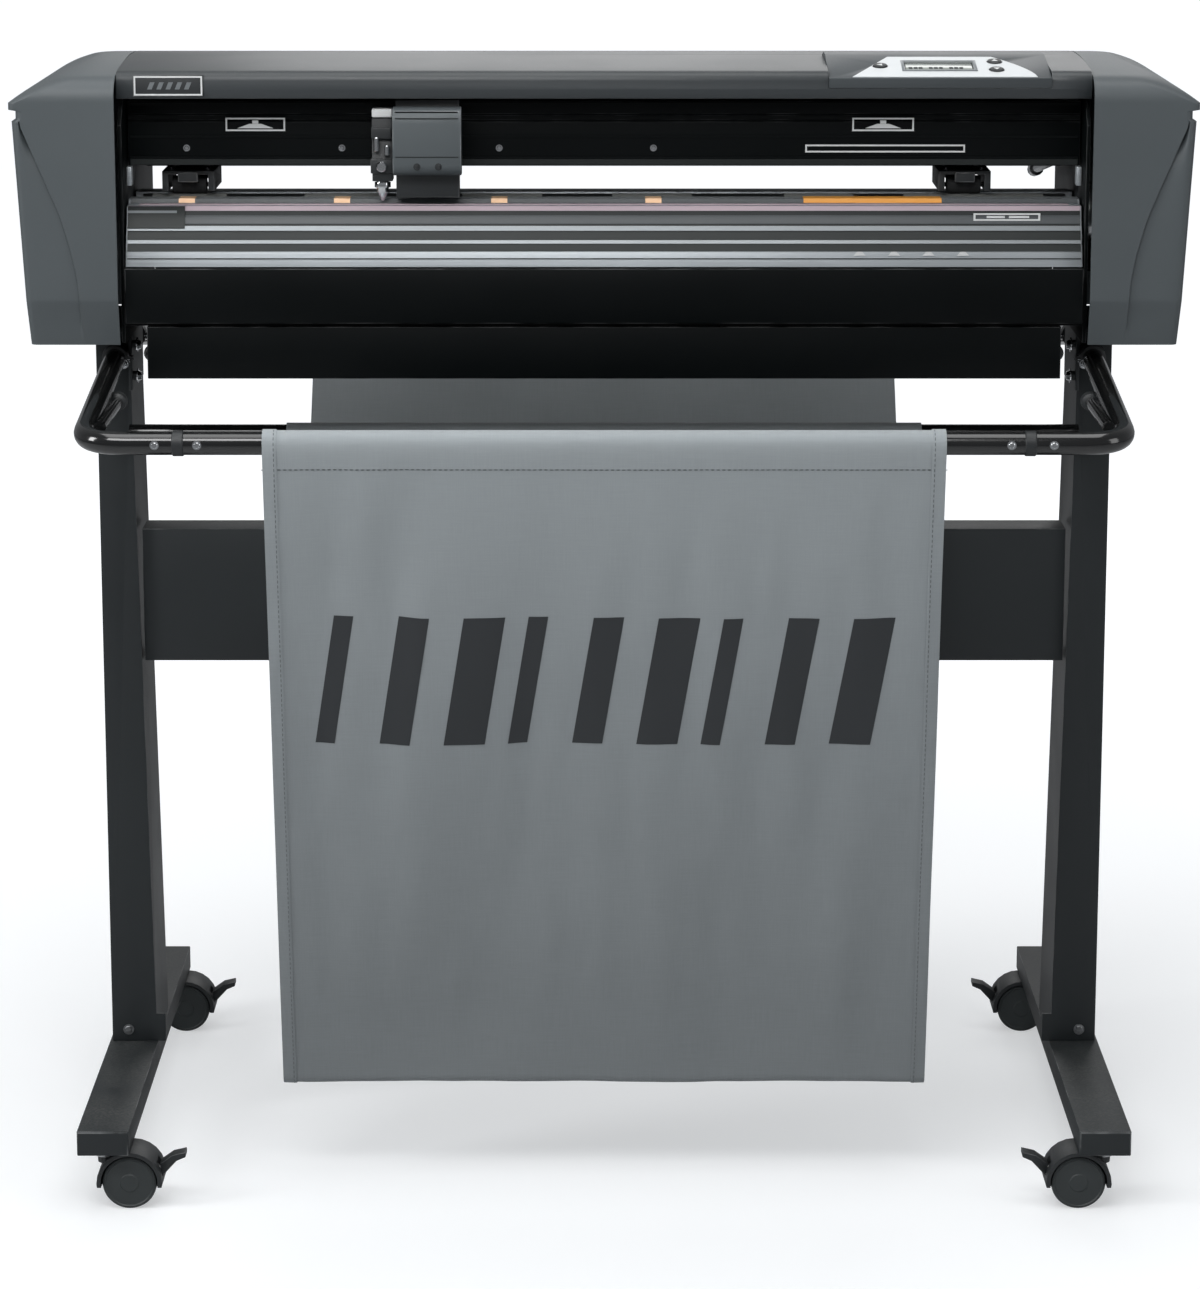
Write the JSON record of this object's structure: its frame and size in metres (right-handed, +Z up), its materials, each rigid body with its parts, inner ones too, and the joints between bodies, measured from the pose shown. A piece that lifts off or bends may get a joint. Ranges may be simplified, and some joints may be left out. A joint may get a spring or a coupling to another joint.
{
  "type": "vinyl cutter",
  "caption": "Floor-standing roll-media cutter: drum-fed cutting head with sliding tool carriage on a caster stand with a cloth media basket.",
  "frame": {"origin": "on the floor, under the middle of the stand", "axes": "+X to the operator's right, +Y to the back, +Z up"},
  "size_m": [1.164, 0.699, 1.124],
  "materials": {
    "cover_plastic": "satin moulded, fine grain",
    "black_plastic": "satin moulded",
    "panel_plastic": "satin moulded",
    "stand_paint": "textured powder coat",
    "head_paint": "satin black",
    "tube_paint": "gloss black",
    "steel": "bare, brushed",
    "platen_aluminium": "drawn, satin",
    "strip": "matt, self-healing",
    "cloth": "plain woven polyester",
    "roller_rubber": "matt",
    "wheel_plastic": "matt moulded",
    "display_glass": "clear window over a reflective display",
    "circuit": "solder-masked board",
    "chrome": "polished"
  },
  "bodies": {
    "root": {"left_leg": "stand_paint", "right_leg": "stand_paint", "left_foot": "stand_paint", "right_foot": "stand_paint", "crossbar": "stand_paint", "middle_bar": "tube_paint", "front_bar": "tube_paint", "rear_bar": "tube_paint", "left_front_arm": "tube_paint", "right_front_arm": "tube_paint", "left_rear_arm": "tube_paint", "right_rear_arm": "tube_paint", "cloth_basket": "cloth", "base_frame": "head_paint", "left_cover": "cover_plastic", "right_cover": "cover_plastic", "top_cover": "cover_plastic", "control_panel": "panel_plastic", "display": "display_glass", "beam": "head_paint", "platen": "platen_aluminium", "cutting_strip": "strip", "apron": "head_paint", "electronics_tray": "head_paint", "electronics": "circuit", "power_inlet": "black_plastic", "drum_motor": "head_paint", "carriage_motor": "head_paint", "carriage_belt": "roller_rubber"},
    "carriage": {"carriage": "black_plastic", "carriage_cover": "cover_plastic"},
    "tool": {"tool_holder": "black_plastic", "blade_holder": "chrome"},
    "drum": {"drum": "steel"},
    "pinion": {"motor_pinion": "steel"},
    "lift": {"lift_shaft": "steel"},
    "drive_pulley": {"drive_pulley": "steel"},
    "idler_pulley": {"idler_pulley": "steel"},
    "up_key": {"up_key": "black_plastic"},
    "down_key": {"down_key": "black_plastic"},
    "enter_key": {"enter_key": "black_plastic"},
    "power_switch": {"power_switch": "black_plastic"},
    "left_pinch_bracket": {"left_pinch_bracket": "black_plastic"},
    "left_pinch_arm": {"left_pinch_arm": "black_plastic"},
    "left_pinch_roller": {"left_pinch_roller": "roller_rubber"},
    "right_pinch_bracket": {"right_pinch_bracket": "black_plastic"},
    "right_pinch_arm": {"right_pinch_arm": "black_plastic"},
    "right_pinch_roller": {"right_pinch_roller": "roller_rubber"},
    "front_left_caster": {"front_left_caster_hood": "black_plastic"},
    "front_left_wheels": {"front_left_caster_wheels": "wheel_plastic"},
    "front_left_brake": {"front_left_caster_brake": "black_plastic"},
    "rear_left_caster": {"rear_left_caster_hood": "black_plastic"},
    "rear_left_wheels": {"rear_left_caster_wheels": "wheel_plastic"},
    "rear_left_brake": {"rear_left_caster_brake": "black_plastic"},
    "front_right_caster": {"front_right_caster_hood": "black_plastic"},
    "front_right_wheels": {"front_right_caster_wheels": "wheel_plastic"},
    "front_right_brake": {"front_right_caster_brake": "black_plastic"},
    "rear_right_caster": {"rear_right_caster_hood": "black_plastic"},
    "rear_right_wheels": {"rear_right_caster_wheels": "wheel_plastic"},
    "rear_right_brake": {"rear_right_caster_brake": "black_plastic"}
  },
  "joints": [
    {"name": "carriage_slide", "type": "slide", "parent": "root", "child": "carriage", "axis": [1, 0, 0], "range_m": [-0.235, 0.605]},
    {"name": "tool_press", "type": "slide", "parent": "carriage", "child": "tool", "axis": [0, 0, 1], "range_m": [-0.003, 0], "stiffness_N_per_m": 600, "springref_m": 0.004},
    {"name": "drum_spin", "type": "hinge", "parent": "root", "child": "drum", "pos_m": [0, -0.055, 0.9666], "axis": [1, 0, 0], "continuous": true},
    {"name": "pinion_spin", "type": "hinge", "parent": "root", "child": "pinion", "pos_m": [0.485, -0.0332, 0.9374], "axis": [1, 0, 0], "continuous": true},
    {"name": "lift_turn", "type": "hinge", "parent": "root", "child": "lift", "pos_m": [0.456, 0.02, 1.008], "axis": [1, 0, 0], "range_deg": [-10, 0]},
    {"name": "drive_pulley_spin", "type": "hinge", "parent": "root", "child": "drive_pulley", "pos_m": [-0.45, 0.035, 1.088], "axis": [0, 0, 1], "continuous": true},
    {"name": "idler_pulley_spin", "type": "hinge", "parent": "root", "child": "idler_pulley", "pos_m": [0.45, 0.035, 1.088], "axis": [0, 0, 1], "continuous": true},
    {"name": "up_key_press", "type": "slide", "parent": "root", "child": "up_key", "axis": [0, -0.2183, 0.9759], "range_m": [-0.0015, 0], "stiffness_N_per_m": 300, "springref_m": 0.001},
    {"name": "down_key_press", "type": "slide", "parent": "root", "child": "down_key", "axis": [0, -0.2183, 0.9759], "range_m": [-0.0015, 0], "stiffness_N_per_m": 300, "springref_m": 0.001},
    {"name": "enter_key_press", "type": "slide", "parent": "root", "child": "enter_key", "axis": [0, -0.2183, 0.9759], "range_m": [-0.0015, 0], "stiffness_N_per_m": 300, "springref_m": 0.001},
    {"name": "power_switch_rock", "type": "hinge", "parent": "root", "child": "power_switch", "pos_m": [-0.375, 0.148, 0.902], "axis": [1, 0, 0], "range_deg": [0, 16]},
    {"name": "left_pinch_slide", "type": "slide", "parent": "root", "child": "left_pinch_bracket", "axis": [1, 0, 0], "range_m": [-0.025, 0.3]},
    {"name": "left_pinch_lift", "type": "hinge", "parent": "left_pinch_bracket", "child": "left_pinch_arm", "pos_m": [-0.415, -0.002, 1.001], "axis": [1, 0, 0], "range_deg": [-6, 0]},
    {"name": "left_roller_spin", "type": "hinge", "parent": "left_pinch_arm", "child": "left_pinch_roller", "pos_m": [-0.415, -0.055, 0.9939], "axis": [1, 0, 0], "continuous": true},
    {"name": "right_pinch_slide", "type": "slide", "parent": "root", "child": "right_pinch_bracket", "axis": [1, 0, 0], "range_m": [-0.3, 0.07]},
    {"name": "right_pinch_lift", "type": "hinge", "parent": "right_pinch_bracket", "child": "right_pinch_arm", "pos_m": [0.36, -0.002, 1.001], "axis": [1, 0, 0], "range_deg": [-6, 0]},
    {"name": "right_roller_spin", "type": "hinge", "parent": "right_pinch_arm", "child": "right_pinch_roller", "pos_m": [0.36, -0.055, 0.9939], "axis": [1, 0, 0], "continuous": true},
    {"name": "front_left_swivel", "type": "hinge", "parent": "root", "child": "front_left_caster", "pos_m": [-0.4945, -0.27, 0.055], "axis": [0, 0, 1], "continuous": true},
    {"name": "front_left_roll", "type": "hinge", "parent": "front_left_caster", "child": "front_left_wheels", "pos_m": [-0.4705, -0.27, 0.027], "axis": [0, 1, 0], "continuous": true},
    {"name": "front_left_brake_press", "type": "hinge", "parent": "front_left_caster", "child": "front_left_brake", "pos_m": [-0.4395, -0.27, 0.038], "axis": [0, 1, 0], "range_deg": [0, 18]},
    {"name": "rear_left_swivel", "type": "hinge", "parent": "root", "child": "rear_left_caster", "pos_m": [-0.4945, 0.27, 0.055], "axis": [0, 0, 1], "continuous": true},
    {"name": "rear_left_roll", "type": "hinge", "parent": "rear_left_caster", "child": "rear_left_wheels", "pos_m": [-0.4705, 0.27, 0.027], "axis": [0, 1, 0], "continuous": true},
    {"name": "rear_left_brake_press", "type": "hinge", "parent": "rear_left_caster", "child": "rear_left_brake", "pos_m": [-0.4395, 0.27, 0.038], "axis": [0, 1, 0], "range_deg": [0, 18]},
    {"name": "front_right_swivel", "type": "hinge", "parent": "root", "child": "front_right_caster", "pos_m": [0.4945, -0.27, 0.055], "axis": [0, 0, 1], "continuous": true},
    {"name": "front_right_roll", "type": "hinge", "parent": "front_right_caster", "child": "front_right_wheels", "pos_m": [0.4705, -0.27, 0.027], "axis": [0, 1, 0], "continuous": true},
    {"name": "front_right_brake_press", "type": "hinge", "parent": "front_right_caster", "child": "front_right_brake", "pos_m": [0.4395, -0.27, 0.038], "axis": [0, -1, 0], "range_deg": [0, 18]},
    {"name": "rear_right_swivel", "type": "hinge", "parent": "root", "child": "rear_right_caster", "pos_m": [0.4945, 0.27, 0.055], "axis": [0, 0, 1], "continuous": true},
    {"name": "rear_right_roll", "type": "hinge", "parent": "rear_right_caster", "child": "rear_right_wheels", "pos_m": [0.4705, 0.27, 0.027], "axis": [0, 1, 0], "continuous": true},
    {"name": "rear_right_brake_press", "type": "hinge", "parent": "rear_right_caster", "child": "rear_right_brake", "pos_m": [0.4395, 0.27, 0.038], "axis": [0, -1, 0], "range_deg": [0, 18]}
  ],
  "couplings": [
    {"joint": "pinion_spin", "follows": "drum_spin", "ratio": -3.5},
    {"joint": "drive_pulley_spin", "follows": "carriage_slide", "rad_per_m": 91.3},
    {"joint": "idler_pulley_spin", "follows": "carriage_slide", "rad_per_m": 91.3},
    {"joint": "left_pinch_lift", "follows": "lift_turn", "ratio": 0.6},
    {"joint": "left_roller_spin", "follows": "drum_spin", "ratio": -2},
    {"joint": "right_pinch_lift", "follows": "lift_turn", "ratio": 0.6},
    {"joint": "right_roller_spin", "follows": "drum_spin", "ratio": -2}
  ]
}
